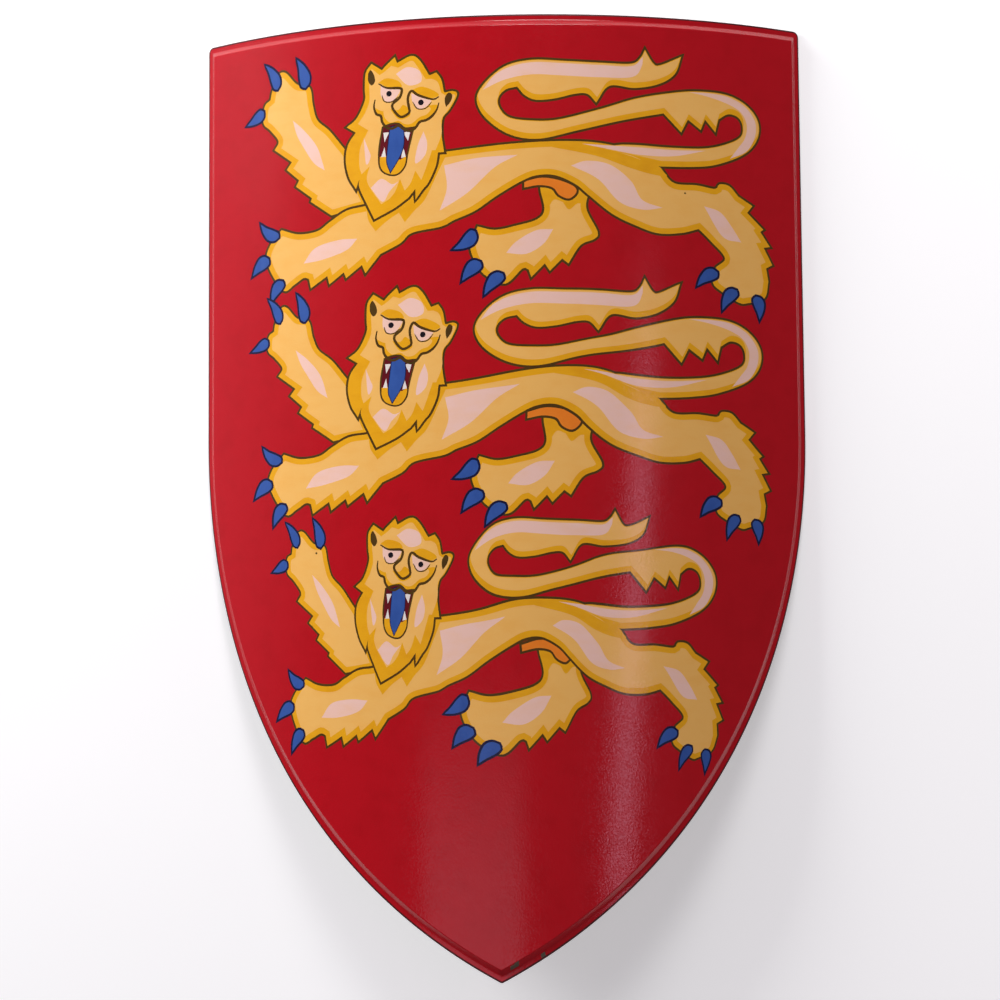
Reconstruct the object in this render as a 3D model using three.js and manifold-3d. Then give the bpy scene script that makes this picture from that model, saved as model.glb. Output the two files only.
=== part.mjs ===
// A heater shield of pressed sheet steel with two leather arm straps, lying loose with its painted face up.
// Millimetres. +Z is up and +Y runs from the point to the top edge. The origin is on the floor, under the
// middle of the shield. The straps are on the hidden side, and the elbow's strap is at +X.

import * as THREE from "three";
import Module from "manifold-3d";
import { mergeVertices } from "three/addons/utils/BufferGeometryUtils.js";

const wasm = await Module();
wasm.setup();

// The pressed sheet
const shieldWidth = 500;
const shieldHeight = 778;
const faceRadius = 455;
const sheetWall = 1.5;
const sideArcRadius = 495;
const cornerRadius = 5;
const tipRadius = 2.5;

// Its stepped rim, measured in from the cut edge along the face
const rimWidth = 10;
const rimStepWidth = 4.5;
const rimDrop = 3.5;
const edgeRounding = 0.5;

// The straps' loops, bent from round rod and welded inside the sheet
const rodRadius = 2.5;
const rodBendRadius = 4.5;
const loopFootLength = 12;
const loopLift = 12.8;

// The leather and the rivets that close its folded ends
const leatherThickness = 3.2;
const tailLength = 32;
const foldBlendLength = 12;
const rivetShankRadius = 1.6;
const rivetHeadRadius = 4.5;
const rivetHeadHeight = 1.6;
const rivetWasherHeight = 0.9;
const rivetDistance = 21;

// Clearances between pieces
const touchGap = 0.3;
const strapSideGap = 0.8;

// How finely curves are cut into flats
const columnWidth = 19;
const rowHeight = 22;
const roundSteps = 3;
const rodSides = 8;
const foldSteps = 8;
const hangSteps = 12;
const rivetSides = 12;

// Both straps sit as far round the face from its middle, and their middles as far above the shield's.
// A strap's span is the distance between its two loops. Its slope, in degrees, is the one at which it
// leaves them, and sets how deep it hangs.
const strapOffset = 92;
const strapRise = 84;
const armStrapWidth = 42;
const armStrapSpan = 140;
const armStrapSlope = 50;
const handStrapWidth = 30;
const handStrapSpan = 118;
const handStrapSlope = 48;

const straps = [
  { name: "arm", offset: strapOffset, width: armStrapWidth, span: armStrapSpan, slope: armStrapSlope },
  { name: "hand", offset: -strapOffset, width: handStrapWidth, span: handStrapSpan, slope: handStrapSlope },
];

const paintedSteel = new THREE.MeshStandardMaterial({ color: 0xb01a22, roughness: 0.25, metalness: 0.1 });
const bareSteel = new THREE.MeshStandardMaterial({ color: 0x8c8c88, roughness: 0.4, metalness: 1 });
const leather = new THREE.MeshStandardMaterial({ color: 0x5a3420, roughness: 0.7, metalness: 0 });

// The blank is laid out flat: u runs across it and v up it, from the point. Its sides are straight down to
// the shoulder, where the arcs that meet at the point begin.
const innerRadius = faceRadius - sheetWall;
const cutEdgeRadius = faceRadius - rimDrop - edgeRounding;
const blankHalfWidth = faceRadius * Math.asin(shieldWidth / 2 / cutEdgeRadius);
const arcCentreU = blankHalfWidth - sideArcRadius;
const shoulderV = tipRadius + Math.sqrt((sideArcRadius - tipRadius) ** 2 - arcCentreU ** 2);
const topSteps = Math.round((2 * blankHalfWidth) / columnWidth);
const crownHeight = faceRadius - (innerRadius - rimDrop) * Math.cos(blankHalfWidth / faceRadius);

// A point of the blank, bent round at the given radius
function bent(u, v, radius) {
  const angle = u / faceRadius;
  return new THREE.Vector3(
    radius * Math.sin(angle),
    v - shieldHeight / 2,
    radius * Math.cos(angle) - faceRadius + crownHeight,
  );
}

// The right half of the outline, inset by d, from the middle of the point up to the end of the top corner.
// Every inset gives as many points, so that two insets can be joined point by point.
function halfOutline(d) {
  const points = [];
  const tipInset = Math.max(d, tipRadius);
  const tipCentreV = shoulderV - Math.sqrt((sideArcRadius - tipInset) ** 2 - arcCentreU ** 2);
  const tipRest = tipInset - d;
  const arcRadius = sideArcRadius - d;
  const arcEnd = Math.acos(-arcCentreU / (sideArcRadius - tipInset));
  for (let i = 0; i <= roundSteps; i++) {
    const angle = -Math.PI / 2 + (i / roundSteps) * (Math.PI / 2 - arcEnd);
    points.push([tipRest * Math.cos(angle), tipCentreV + tipRest * Math.sin(angle)]);
  }
  const arcSteps = Math.round((sideArcRadius * Math.acos(-arcCentreU / sideArcRadius)) / rowHeight);
  for (let i = 1; i <= arcSteps; i++) {
    const angle = -arcEnd * (1 - i / arcSteps);
    points.push([arcCentreU + arcRadius * Math.cos(angle), shoulderV + arcRadius * Math.sin(angle)]);
  }
  const cornerInset = Math.max(d, cornerRadius);
  const cornerRest = cornerInset - d;
  const sideTop = shieldHeight - cornerInset;
  const sideSteps = Math.max(1, Math.round((shieldHeight - shoulderV) / (4 * rowHeight)));
  for (let i = 1; i < sideSteps; i++) {
    points.push([blankHalfWidth - d, shoulderV + ((sideTop - shoulderV) * i) / sideSteps]);
  }
  for (let i = 0; i <= roundSteps; i++) {
    const angle = ((i / roundSteps) * Math.PI) / 2;
    const u = blankHalfWidth - cornerInset + cornerRest * Math.cos(angle);
    points.push([u, sideTop + cornerRest * Math.sin(angle)]);
  }
  return points;
}

// The whole outline, inset by d: up the right side, back along the top, and down the left side
function outline(d) {
  const right = halfOutline(d);
  const [cornerU, topV] = right[right.length - 1];
  const top = [];
  for (let i = 1; i < topSteps; i++) {
    top.push([cornerU * (1 - (2 * i) / topSteps), topV]);
  }
  const left = right.slice(1).reverse().map(([u, v]) => [-u, v]);
  return [...right, ...top, ...left];
}

// Collects corners and triangles, and joins corners that fall together. While turnOver is true, each
// triangle faces the other way.
class Skin {
  constructor() {
    this.positions = [];
    this.triangles = [];
    this.known = new Map();
    this.turnOver = false;
  }

  corner(point) {
    const key = point.toArray().map((value) => Math.round(value * 1e4)).join();
    if (!this.known.has(key)) {
      this.known.set(key, this.positions.length / 3);
      this.positions.push(...point.toArray());
    }
    return this.known.get(key);
  }

  triangle(a, b, c) {
    if (a !== b && b !== c && c !== a) {
      this.triangles.push(a, ...(this.turnOver ? [c, b] : [b, c]));
    }
  }

  // A closed band between two rings of as many corners
  band(outer, inner) {
    outer.forEach((corner, i) => {
      const next = (i + 1) % outer.length;
      this.triangle(corner, outer[next], inner[next]);
      this.triangle(corner, inner[next], inner[i]);
    });
  }

  // The strip between two rows that run the same way but may differ in their number of corners
  strip(low, high) {
    let i = 0;
    let j = 0;
    while (i < low.length - 1 || j < high.length - 1) {
      const lowNext = (i + 1) / Math.max(1, low.length - 1);
      const highNext = (j + 1) / Math.max(1, high.length - 1);
      const stepLow = j === high.length - 1 || (i < low.length - 1 && lowNext <= highNext);
      if (stepLow) {
        this.triangle(low[i], low[i + 1], high[j]);
        i += 1;
      } else {
        this.triangle(low[i], high[j + 1], high[j]);
        j += 1;
      }
    }
  }

  geometry() {
    const result = new THREE.BufferGeometry();
    result.setAttribute("position", new THREE.Float32BufferAttribute(this.positions, 3));
    result.setIndex(this.triangles);
    result.computeVertexNormals();
    return result;
  }
}

// How far each ring of the rim is inset from the cut edge, and how far it lies below the face
const rimProfile = [
  [edgeRounding, rimDrop],
  [rimWidth - rimStepWidth, rimDrop],
  [rimWidth, 0],
];
const frontProfile = [[0, rimDrop + edgeRounding], ...rimProfile];
const backProfile = [[0, rimDrop], ...rimProfile.slice(1)];

// One side of the sheet, from the cut edge to the middle, at a depth below the painted face
function addSheetSide(skin, profile, depth) {
  const rings = profile.map(([d, drop]) =>
    outline(d).map(([u, v]) => skin.corner(bent(u, v, faceRadius - drop - depth))),
  );
  for (let i = 1; i < rings.length; i++) {
    skin.band(rings[i - 1], rings[i]);
  }

  // The face inside the rim is filled with rows from side to side
  const radius = faceRadius - depth;
  const right = halfOutline(rimWidth);
  const rows = right.map(([u, v]) => {
    const steps = Math.max(1, Math.round((2 * u) / columnWidth));
    const row = [];
    for (let i = 0; i <= steps; i++) {
      row.push(skin.corner(bent(u * ((2 * i) / steps - 1), v, radius)));
    }
    return row;
  });
  const topRow = rings[rings.length - 1].slice(right.length - 1, right.length + topSteps);
  const differing = rows.filter(([first], i) => i === 0 || first !== rows[i - 1][0]);
  differing[differing.length - 1] = topRow.reverse();
  for (let i = 1; i < differing.length; i++) {
    skin.strip(differing[i - 1], differing[i]);
  }
  return rings[0];
}

function shieldPlate() {
  const skin = new Skin();
  const frontEdge = addSheetSide(skin, frontProfile, 0);
  skin.turnOver = true;
  const backEdge = addSheetSide(skin, backProfile, sheetWall);
  skin.turnOver = false;
  skin.band(backEdge, frontEdge);
  const mesh = new THREE.Mesh(skin.geometry(), paintedSteel);
  mesh.name = "shield_plate";
  return mesh;
}

// A strap and its fittings are built in a frame of their own. Its origin is on the inner face of the sheet,
// x runs across the strap, y along it and z into the hollow.

// How far the sheet's inner face curves into the hollow, at a distance across from the origin
function innerCurve(x) {
  return innerRadius - Math.sqrt(innerRadius ** 2 - x ** 2);
}

// A path of straight lines, with its corners rounded
function roundedPath(points, radius) {
  const path = [points[0]];
  for (let i = 1; i < points.length - 1; i++) {
    const back = points[i - 1].clone().sub(points[i]).normalize();
    const ahead = points[i + 1].clone().sub(points[i]).normalize();
    const halfTurn = Math.acos(back.dot(ahead)) / 2;
    const reach = radius / Math.tan(halfTurn);
    const middle = back.clone().add(ahead).normalize();
    const centre = points[i].clone().addScaledVector(middle, radius / Math.sin(halfTurn));
    const start = points[i].clone().addScaledVector(back, reach).sub(centre);
    const end = points[i].clone().addScaledVector(ahead, reach).sub(centre);
    const turn = Math.atan2(start.cross(end), start.dot(end));
    for (let j = 0; j <= roundSteps; j++) {
      path.push(centre.clone().add(start.clone().rotateAround(new THREE.Vector2(), (turn * j) / roundSteps)));
    }
  }
  path.push(points[points.length - 1]);
  return path;
}

// A round rod along a path in the x, z plane
function rodGeometry(path) {
  const skin = new Skin();
  const rings = path.map((point, i) => {
    const before = path[Math.max(0, i - 1)];
    const after = path[Math.min(path.length - 1, i + 1)];
    const along = after.clone().sub(before).normalize();
    const ring = [];
    for (let j = 0; j < rodSides; j++) {
      const angle = ((j + 0.5) / rodSides) * 2 * Math.PI;
      const side = rodRadius * Math.cos(angle);
      ring.push(
        skin.corner(
          new THREE.Vector3(
            point.x - along.y * side,
            -rodRadius * Math.sin(angle),
            point.y + along.x * side,
          ),
        ),
      );
    }
    return ring;
  });
  for (let i = 1; i < rings.length; i++) {
    skin.band(rings[i - 1], rings[i]);
  }
  const first = rings[0];
  const last = rings[rings.length - 1];
  for (let j = 2; j < rodSides; j++) {
    skin.triangle(first[0], first[j], first[j - 1]);
    skin.triangle(last[0], last[j - 1], last[j]);
  }
  return skin.geometry();
}

function strapLoop(strap, end) {
  const legX = strap.width / 2 + strapSideGap + rodBendRadius;
  const footX = legX + loopFootLength;
  const seat = rodRadius + touchGap;
  const half = [
    new THREE.Vector2(footX, innerCurve(footX) + seat),
    new THREE.Vector2(legX, innerCurve(legX) + seat),
    new THREE.Vector2(legX, loopLift),
  ];
  const mirrored = half.map((point) => new THREE.Vector2(-point.x, point.y));
  const path = roundedPath([...mirrored, ...half.reverse()], rodBendRadius);
  const mesh = new THREE.Mesh(rodGeometry(path), bareSteel);
  mesh.name = `${strap.name}_loop_${end > 0 ? "upper" : "lower"}`;
  mesh.position.y = (end * strap.span) / 2;
  return mesh;
}

// The middle line of one half of a strap in the y, z plane, from the end of its folded tail to its lowest
// point. It leaves the loop in a straight slope and hangs in an arc.
function hangingHalf(strap) {
  const slope = THREE.MathUtils.degToRad(strap.slope);
  const down = new THREE.Vector2(-Math.cos(slope), Math.sin(slope));
  const out = new THREE.Vector2(Math.sin(slope), Math.cos(slope));
  const foldRadius = rodRadius + touchGap + leatherThickness / 2;
  const bar = new THREE.Vector2(strap.span / 2, loopLift);
  const at = (along, across) => bar.clone().addScaledVector(down, along).addScaledVector(out, across);

  const points = [];
  const tailOffset = leatherThickness + touchGap - foldRadius;
  points.push(at(tailLength, tailOffset));
  for (let i = 0; i <= roundSteps; i++) {
    const share = i / roundSteps;
    const eased = (1 - Math.cos(Math.PI * share)) / 2;
    points.push(at(foldBlendLength * (1 - share), tailOffset + (foldRadius - tailOffset) * eased));
  }
  for (let i = 1; i <= foldSteps; i++) {
    const angle = (Math.PI * i) / foldSteps;
    points.push(at(-foldRadius * Math.sin(angle), foldRadius * Math.cos(angle)));
  }

  // The arc starts where the tail ends, and its lowest point is at the middle of the span
  const arcStart = at(tailLength, -foldRadius);
  const arcRadius = arcStart.x / Math.sin(slope);
  const arcCentreZ = arcStart.y - arcRadius * Math.cos(slope);
  for (let i = 0; i <= hangSteps / 2; i++) {
    const angle = slope * (1 - i / (hangSteps / 2));
    points.push(new THREE.Vector2(arcRadius * Math.sin(angle), arcCentreZ + arcRadius * Math.cos(angle)));
  }
  return { points, at, foldRadius, slope };
}

// The leather as a ribbon of even thickness round its middle line
function ribbon(line) {
  const left = [];
  const right = [];
  line.forEach((point, i) => {
    const before = line[Math.max(0, i - 1)];
    const after = line[Math.min(line.length - 1, i + 1)];
    const into = point.clone().sub(before).normalize();
    const away = after.clone().sub(point).normalize();
    const along = into.add(away).normalize();
    const halfTurnCosine = i === 0 || i === line.length - 1 ? 1 : along.dot(away);
    const reach = leatherThickness / 2 / halfTurnCosine;
    const normal = new THREE.Vector2(-along.y, along.x);
    left.push(point.clone().addScaledVector(normal, reach));
    right.push(point.clone().addScaledVector(normal, -reach));
  });
  return [...left, ...right.reverse()];
}

function toManifold(geometry) {
  const bare = geometry.clone();
  bare.deleteAttribute("normal");
  bare.deleteAttribute("uv");
  const merged = mergeVertices(bare, 1e-4);
  return new wasm.Manifold(
    new wasm.Mesh({
      numProp: 3,
      vertProperties: new Float32Array(merged.attributes.position.array),
      triVerts: new Uint32Array(merged.index.array),
    }),
  );
}

function fromManifold(solid) {
  const mesh = solid.getMesh();
  const geometry = new THREE.BufferGeometry();
  geometry.setAttribute("position", new THREE.Float32BufferAttribute(mesh.vertProperties, 3));
  geometry.setIndex([...mesh.triVerts]);
  geometry.computeVertexNormals();
  return geometry;
}

// The two rivets beside each other at one folded end, as places and as the direction of their axes. Seen
// from the painted side, the one at positive x is on the left.
function rivetPlaces(strap, end) {
  const { at, foldRadius, slope } = hangingHalf(strap);
  const middle = at(rivetDistance, (leatherThickness + touchGap) / 2 - foldRadius);
  const axis = new THREE.Vector3(0, end * Math.sin(slope), Math.cos(slope)).negate();
  return [-1, 1].map((side) => ({
    side,
    place: new THREE.Vector3((side * strap.width) / 4, end * middle.x, middle.y),
    axis,
  }));
}

// Turns a solid that stands along y to stand along the axis, and moves it to the place
function aligned(geometry, place, axis) {
  const turn = new THREE.Quaternion().setFromUnitVectors(new THREE.Vector3(0, 1, 0), axis);
  return geometry.applyQuaternion(turn).translate(...place.toArray());
}

function strapLeather(strap) {
  const half = hangingHalf(strap).points;
  const other = half.slice(0, -1).reverse().map((point) => new THREE.Vector2(-point.x, point.y));
  const outlinePoints = ribbon([...half, ...other]);
  const geometry = new THREE.ExtrudeGeometry(new THREE.Shape(outlinePoints), {
    depth: strap.width,
    bevelEnabled: false,
  });
  // The profile's x and y become the strap's y and z, and its depth runs across
  geometry.translate(0, 0, -strap.width / 2);
  geometry.rotateX(Math.PI / 2).rotateZ(Math.PI / 2);
  let solid = toManifold(geometry);
  for (const end of [-1, 1]) {
    for (const { place, axis } of rivetPlaces(strap, end)) {
      const length = 2 * leatherThickness + 4 * rivetHeadHeight;
      const hole = new THREE.CylinderGeometry(
        rivetShankRadius + touchGap,
        rivetShankRadius + touchGap,
        length,
        rivetSides,
      );
      solid = solid.subtract(toManifold(aligned(hole, place, axis)));
    }
  }
  const mesh = new THREE.Mesh(fromManifold(solid), leather);
  mesh.name = `${strap.name}_strap`;
  return mesh;
}

// A domed head on the arm's side, a shank through both layers and a flat washer behind them
function rivetGeometry() {
  const grip = leatherThickness + touchGap / 2 + touchGap;
  const profile = [
    new THREE.Vector2(0, -grip - rivetWasherHeight),
    new THREE.Vector2(rivetHeadRadius, -grip - rivetWasherHeight),
    new THREE.Vector2(rivetHeadRadius, -grip),
    new THREE.Vector2(rivetShankRadius, -grip),
    new THREE.Vector2(rivetShankRadius, grip),
    new THREE.Vector2(rivetHeadRadius, grip),
    new THREE.Vector2(rivetHeadRadius * 0.7, grip + rivetHeadHeight * 0.7),
    new THREE.Vector2(0, grip + rivetHeadHeight),
  ];
  return new THREE.LatheGeometry(profile, rivetSides);
}

function strapRivets(strap, end) {
  return rivetPlaces(strap, end).map(({ side, place, axis }) => {
    const mesh = new THREE.Mesh(aligned(rivetGeometry(), place, axis), bareSteel);
    const height = end > 0 ? "upper" : "lower";
    mesh.name = `${strap.name}_rivet_${height}_${side > 0 ? "left" : "right"}`;
    return mesh;
  });
}

// The strap's frame, set on the inner face of the sheet and turned to face into the hollow
function strapGroup(strap) {
  const group = new THREE.Group();
  group.add(strapLeather(strap));
  for (const end of [-1, 1]) {
    group.add(strapLoop(strap, end), ...strapRivets(strap, end));
  }
  const angle = strap.offset / faceRadius;
  group.position.copy(bent(strap.offset, shieldHeight / 2 + strapRise, innerRadius));
  group.rotation.y = Math.PI + angle;
  return group;
}

const shield = new THREE.Group();
shield.add(shieldPlate(), ...straps.map(strapGroup));

export default shield;
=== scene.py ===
"""A heater shield: the painted steel sheet, its straps and a soft studio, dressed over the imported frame.

The shapes are worked out in millimetres and scaled to metres when their meshes are made. The painted face
is laid out on the flat blank, with u across it and v up it from the point, and then bent round.
"""
import math
import bpy
import numpy as np
from mathutils import Matrix, Vector
from mathutils.geometry import delaunay_2d_cdt


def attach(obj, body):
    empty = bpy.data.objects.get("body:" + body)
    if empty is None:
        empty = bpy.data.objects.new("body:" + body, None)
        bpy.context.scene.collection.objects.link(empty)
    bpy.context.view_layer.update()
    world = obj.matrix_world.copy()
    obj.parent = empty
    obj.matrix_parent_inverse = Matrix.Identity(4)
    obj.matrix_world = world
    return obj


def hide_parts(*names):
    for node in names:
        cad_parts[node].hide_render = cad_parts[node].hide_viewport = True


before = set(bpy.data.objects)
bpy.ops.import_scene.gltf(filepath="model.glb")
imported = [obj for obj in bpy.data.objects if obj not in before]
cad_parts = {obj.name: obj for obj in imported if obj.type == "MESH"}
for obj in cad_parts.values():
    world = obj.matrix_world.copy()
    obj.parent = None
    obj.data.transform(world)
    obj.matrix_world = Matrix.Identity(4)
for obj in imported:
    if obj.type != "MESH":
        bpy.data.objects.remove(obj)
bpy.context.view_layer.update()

MM = 0.001

# The pressed sheet, with the same sizes as the part
SHIELD_WIDTH = 500
SHIELD_HEIGHT = 778
FACE_RADIUS = 455
SHEET_WALL = 1.5
SIDE_ARC_RADIUS = 495
CORNER_RADIUS = 5
TIP_RADIUS = 2.5
RIM_DROP = 3.5
EDGE_ROUNDING = 0.5

INNER_RADIUS = FACE_RADIUS - SHEET_WALL
HALF_WIDTH = FACE_RADIUS * math.asin(SHIELD_WIDTH / 2 / (FACE_RADIUS - RIM_DROP - EDGE_ROUNDING))
ARC_CENTRE = HALF_WIDTH - SIDE_ARC_RADIUS
SHOULDER = TIP_RADIUS + math.sqrt((SIDE_ARC_RADIUS - TIP_RADIUS) ** 2 - ARC_CENTRE ** 2)
CROWN_HEIGHT = FACE_RADIUS - (INNER_RADIUS - RIM_DROP) * math.cos(HALF_WIDTH / FACE_RADIUS)


def bent(points, radius):
    """Points (u, v) of the blank, bent round at a radius"""
    points = np.asarray(points, float)
    angle = points[:, 0] / FACE_RADIUS
    return np.column_stack([
        radius * np.sin(angle),
        points[:, 1] - SHIELD_HEIGHT / 2,
        radius * np.cos(angle) - FACE_RADIUS + CROWN_HEIGHT,
    ])


def place_camera():
    """Puts the camera where the photograph was taken from"""
    right = Vector((0.99741, -0.00793, -0.07153))
    up = Vector((0.01334, 0.99706, 0.07549))
    away = right.cross(up).normalized()
    target = Vector((1.78, -7.48, 80.46))
    distance = 1800
    camera = bpy.data.objects.new("camera", bpy.data.cameras.new("camera"))
    camera.data.lens = 81.12
    camera.data.sensor_width = 36
    camera.data.clip_start = 0.05
    turn = Matrix((right, up, away)).transposed().to_4x4()
    camera.matrix_world = Matrix.Translation((target + away * distance) * MM) @ turn
    bpy.context.scene.collection.objects.link(camera)
    bpy.context.scene.camera = camera


place_camera()


# Materials

def remapped(tree, value, low, high, first, last):
    """The value, remapped from low...high to first...last and kept in that range"""
    node = tree.nodes.new("ShaderNodeMapRange")
    for name, number in zip(("From Min", "From Max", "To Min", "To Max"), (low, high, first, last)):
        node.inputs[name].default_value = number
    tree.links.new(value, node.inputs["Value"])
    return node.outputs["Result"]


def linear(colour):
    """An 8-bit screen colour as a linear one"""
    values = [c / 255 for c in colour]
    return [c / 12.92 if c <= 0.04045 else ((c + 0.055) / 1.055) ** 2.4 for c in values] + [1]


class Finish:
    """A material that is built up by adding nodes to its shader"""

    def __init__(self, name, colour, roughness, metallic=0.0):
        self.material = bpy.data.materials.new(name)
        self.material.use_nodes = True
        self.tree = self.material.node_tree
        self.shader = self.tree.nodes["Principled BSDF"]
        self.shader.inputs["Base Color"].default_value = linear(colour)
        self.shader.inputs["Roughness"].default_value = roughness
        self.shader.inputs["Metallic"].default_value = metallic
        self.colour = linear(colour)
        self.place = self.tree.nodes.new("ShaderNodeTexCoord").outputs["Object"]
        self.height = None

    def noise(self, scale, detail=3, stretch=None, roughness=0.5):
        node = self.tree.nodes.new("ShaderNodeTexNoise")
        node.inputs["Scale"].default_value = scale
        node.inputs["Detail"].default_value = detail
        node.inputs["Roughness"].default_value = roughness
        place = self.place
        if stretch:
            mapping = self.tree.nodes.new("ShaderNodeMapping")
            mapping.inputs["Scale"].default_value = stretch
            self.tree.links.new(place, mapping.inputs["Vector"])
            place = mapping.outputs["Vector"]
        self.tree.links.new(place, node.inputs["Vector"])
        return node.outputs["Fac"]

    def cells(self, scale):
        node = self.tree.nodes.new("ShaderNodeTexVoronoi")
        node.inputs["Scale"].default_value = scale
        self.tree.links.new(self.place, node.inputs["Vector"])
        return node.outputs["Distance"]

    def ranged(self, value, low, high, first, last):
        return remapped(self.tree, value, low, high, first, last)

    def tint(self, share, colour):
        """Mixes a colour in, by a share that varies over the surface"""
        node = self.tree.nodes.new("ShaderNodeMix")
        node.data_type = "RGBA"
        self.tree.links.new(share, node.inputs["Factor"])
        base = self.shader.inputs["Base Color"]
        if base.is_linked:
            self.tree.links.new(base.links[0].from_socket, node.inputs[6])
        else:
            node.inputs[6].default_value = self.colour
        node.inputs[7].default_value = linear(colour)
        self.tree.links.new(node.outputs[2], base)

    def rough(self, value):
        self.tree.links.new(value, self.shader.inputs["Roughness"])

    def bump(self, height, depth, strength=1.0):
        """Raises the surface by a height pattern, with its depth in metres"""
        node = self.tree.nodes.new("ShaderNodeBump")
        node.inputs["Distance"].default_value = depth
        node.inputs["Strength"].default_value = strength
        self.tree.links.new(height, node.inputs["Height"])
        if self.height:
            self.tree.links.new(self.height, node.inputs["Normal"])
        self.height = node.outputs["Normal"]
        self.tree.links.new(self.height, self.shader.inputs["Normal"])


def enamel(name, colour, shade, brush_stretch=(1, 1, 1), gloss=(0.05, 0.2)):
    """Glossy brushed enamel, with soft streaks of shade, a finely uneven surface and a roughness that
    varies between the two values of gloss"""
    finish = Finish(name, colour, 0.16)
    finish.tint(finish.ranged(finish.noise(55, 5, brush_stretch), 0.45, 0.72, 0, 0.55), shade)
    finish.rough(finish.ranged(finish.noise(700, 1), 0.43, 0.57, *gloss))
    finish.bump(finish.noise(650, 1), 0.00007)
    finish.bump(finish.noise(70, 2), 0.00008)
    return finish.material


def bare_steel(name, colour=(150, 148, 142), rust=0.25):
    """Rolled sheet or rod, with fine lines from rolling, dull patches and light rust"""
    finish = Finish(name, colour, 0.42, 0.9)
    finish.tint(finish.ranged(finish.noise(14, 6), 0.42, 0.75, 0, 0.3), (104, 102, 98))
    finish.tint(finish.ranged(finish.noise(38, 8, roughness=0.7), 0.62, 0.78, 0, rust), (112, 66, 36))
    finish.rough(finish.ranged(finish.noise(26, 6), 0.3, 0.7, 0.45, 0.52))
    finish.bump(finish.noise(240, 3, (1, 0.06, 1)), 0.00006)
    finish.bump(finish.noise(900, 2), 0.00003)
    return finish.material


RED, LINE, DEEP, LIGHT, PINK, BLUE, NAVY, ORANGE, MAROON, WHITE, BLACK, CHIP, BACK, EDGE = range(14)

paint_box = {
    RED: enamel("field_red", (189, 11, 26), (178, 8, 21)),
    LINE: enamel("outline_brown", (84, 60, 20), (62, 44, 16)),
    DEEP: enamel("deep_gold", (242, 173, 24), (230, 156, 18), (1, 2, 1)),
    LIGHT: enamel("light_gold", (251, 193, 104), (249, 184, 90), (1, 2, 1)),
    PINK: enamel("highlight_pink", (250, 206, 190), (250, 200, 166), (1, 2, 1)),
    BLUE: enamel("claw_blue", (56, 92, 168), (44, 76, 150), (2, 1, 1)),
    NAVY: enamel("claw_navy", (22, 26, 62), (16, 20, 48)),
    ORANGE: enamel("accent_orange", (246, 136, 40), (236, 120, 30)),
    MAROON: enamel("mouth_maroon", (104, 20, 30), (84, 14, 24)),
    WHITE: enamel("tooth_white", (240, 232, 226), (226, 214, 206)),
    BLACK: enamel("pupil_black", (26, 22, 30), (14, 12, 16)),
    CHIP: bare_steel("chipped_steel", (124, 112, 96), 0.5),
    BACK: bare_steel("back_steel"),
    EDGE: enamel("edge_red", (78, 6, 10), (54, 6, 9), gloss=(0.3, 0.45)),
}


# Drawing on the flat blank. A shape is an array of points (u, v) round its outline, anticlockwise.

CURVE_STEP = 2.2
LINE_STEP = 2 * CURVE_STEP
STROKE_END = 0.45
STROKE_TAPER = 4


def pairs(numbers):
    return np.array(numbers, float).reshape(-1, 2)


def smooth(*numbers):
    """A smooth run through points given as u, v, u, v"""
    points = pairs(numbers)
    padded = np.vstack([2 * points[0] - points[1], points, 2 * points[-1] - points[-2]])
    run = []
    for a, b, c, d in zip(padded, padded[1:], padded[2:], padded[3:]):
        count = max(1, math.ceil(np.linalg.norm(c - b) / CURVE_STEP))
        t = np.arange(count)[:, None] / count
        run.append(0.5 * (2 * b + (c - a) * t + (2 * a - 5 * b + 4 * c - d) * t ** 2
                          + (3 * b - a - 3 * c + d) * t ** 3))
    return np.vstack([*run, points[-1:]])


def sharp(*numbers):
    """Straight lines between points, such as a row of pointed locks"""
    points = pairs(numbers)
    run = []
    for a, b in zip(points, points[1:]):
        count = max(1, math.ceil(np.linalg.norm(b - a) / LINE_STEP))
        run.append(a + (b - a) * np.arange(count)[:, None] / count)
    return np.vstack([*run, points[-1:]])


def directions(line):
    """The unit vector along the line at each of its points"""
    along = np.gradient(line, axis=0)
    return along / np.linalg.norm(along, axis=1)[:, None]


def area(shape):
    """The area inside the outline, which is negative where it runs clockwise"""
    u, v = shape.T
    return 0.5 * float(np.sum(u * np.roll(v, -1) - np.roll(u, -1) * v))


def closed(*runs):
    """The runs joined to one outline, without repeated points"""
    joined = sharp(*np.vstack([*runs, runs[0][:1]]).ravel())
    keep = np.linalg.norm(joined - np.roll(joined, 1, axis=0), axis=1) > 0.05
    joined = joined[keep]
    return joined if area(joined) > 0 else joined[::-1]


def grown(shape, distance):
    """The outline moved outward, or inward for a negative distance. Where it folds over, it turns
    clockwise, which the painting leaves out."""
    before = shape - np.roll(shape, 1, axis=0)
    after = np.roll(shape, -1, axis=0) - shape
    before /= np.linalg.norm(before, axis=1)[:, None]
    after /= np.linalg.norm(after, axis=1)[:, None]
    normal = np.column_stack([before[:, 1] + after[:, 1], -before[:, 0] - after[:, 0]])
    stretch = np.maximum(0.5 * np.sum(normal ** 2, axis=1), 0.35)
    return shape + normal / stretch[:, None] * distance


def stroke(width, *numbers):
    """A brush line that thins towards its ends"""
    line = smooth(*numbers)
    along = directions(line)
    side = np.column_stack([-along[:, 1], along[:, 0]])
    share = np.linspace(0, 1, len(line))
    half = width / 2 * np.minimum(1, STROKE_END + STROKE_TAPER * np.minimum(share, 1 - share))
    return closed(line + side * half[:, None], (line - side * half[:, None])[::-1])


def dot(u, v, radius):
    """A small round spot"""
    angles = np.linspace(0, 2 * math.pi, 12, endpoint=False)
    return np.column_stack([u + radius * np.cos(angles), v + radius * np.sin(angles)])


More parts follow.
